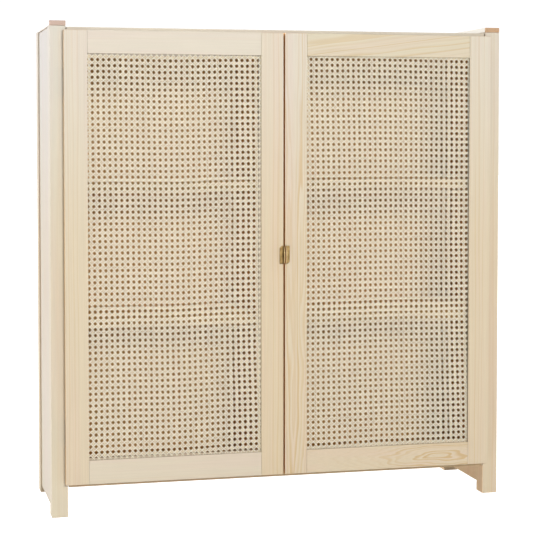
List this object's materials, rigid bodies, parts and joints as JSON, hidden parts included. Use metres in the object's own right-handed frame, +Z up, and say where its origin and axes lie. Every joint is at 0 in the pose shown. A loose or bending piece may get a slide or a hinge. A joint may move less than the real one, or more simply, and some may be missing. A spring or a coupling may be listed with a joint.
{
  "type": "record cabinet",
  "caption": "Free-standing pine cabinet on post legs, with framed doors of woven cane, small brass pulls, shelves and a partition inside.",
  "frame": {"origin": "on the floor, under the middle of the whole outline", "axes": "+Z up, the doors face -Y, +X to the right of someone who faces the doors"},
  "size_m": [1.196, 0.38, 1.25],
  "materials": {
    "pine": "pale pine, clear matt finish",
    "cap_rail_pine": "pale pine with pinkish end grain",
    "inside_pine": "warmer pine, matt",
    "cane": "natural woven cane",
    "brass": "aged brass, satin",
    "steel": "zinc plated",
    "catch_plastic": "brown moulded plastic"
  },
  "bodies": {
    "cabinet": {"front_left_post": "pine", "front_right_post": "pine", "back_left_post": "pine", "back_right_post": "pine", "left_side_panel": "pine", "right_side_panel": "pine", "bottom_board": "pine", "top_board": "pine", "left_cap_rail": "cap_rail_pine", "right_cap_rail": "cap_rail_pine", "partition": "inside_pine", "back_panel": "inside_pine", "lower_left_shelf": "inside_pine", "upper_left_shelf": "inside_pine", "lower_right_shelf": "inside_pine", "upper_right_shelf": "inside_pine", "left_catch": "catch_plastic", "left_lower_hinge_case_leaf": "brass", "left_lower_hinge_pin": "brass", "left_upper_hinge_case_leaf": "brass", "left_upper_hinge_pin": "brass", "right_catch": "catch_plastic", "right_lower_hinge_case_leaf": "brass", "right_lower_hinge_pin": "brass", "right_upper_hinge_case_leaf": "brass", "right_upper_hinge_pin": "brass"},
    "left_door": {"left_door_outer_stile": "pine", "left_door_inner_stile": "pine", "left_door_top_rail": "pine", "left_door_bottom_rail": "pine", "left_door_cane_panel": "cane", "left_door_top_bead": "inside_pine", "left_door_bottom_bead": "inside_pine", "left_door_outer_bead": "inside_pine", "left_door_inner_bead": "inside_pine", "left_door_pull": "brass", "left_door_lower_pull_screw": "steel", "left_door_upper_pull_screw": "steel", "left_door_strike_plate": "steel", "left_lower_hinge_door_leaf": "brass", "left_upper_hinge_door_leaf": "brass"},
    "right_door": {"right_door_outer_stile": "pine", "right_door_inner_stile": "pine", "right_door_top_rail": "pine", "right_door_bottom_rail": "pine", "right_door_cane_panel": "cane", "right_door_top_bead": "inside_pine", "right_door_bottom_bead": "inside_pine", "right_door_outer_bead": "inside_pine", "right_door_inner_bead": "inside_pine", "right_door_pull": "brass", "right_door_lower_pull_screw": "steel", "right_door_upper_pull_screw": "steel", "right_door_strike_plate": "steel", "right_lower_hinge_door_leaf": "brass", "right_upper_hinge_door_leaf": "brass"}
  },
  "joints": [
    {"name": "left_door_hinge", "type": "hinge", "parent": "cabinet", "child": "left_door", "pos_m": [-0.5577, -0.16101, 0.65575], "axis": [0, 0, -1], "range_deg": [0, 100]},
    {"name": "right_door_hinge", "type": "hinge", "parent": "cabinet", "child": "right_door", "pos_m": [0.5577, -0.16101, 0.65575], "axis": [0, 0, 1], "range_deg": [0, 100]}
  ]
}
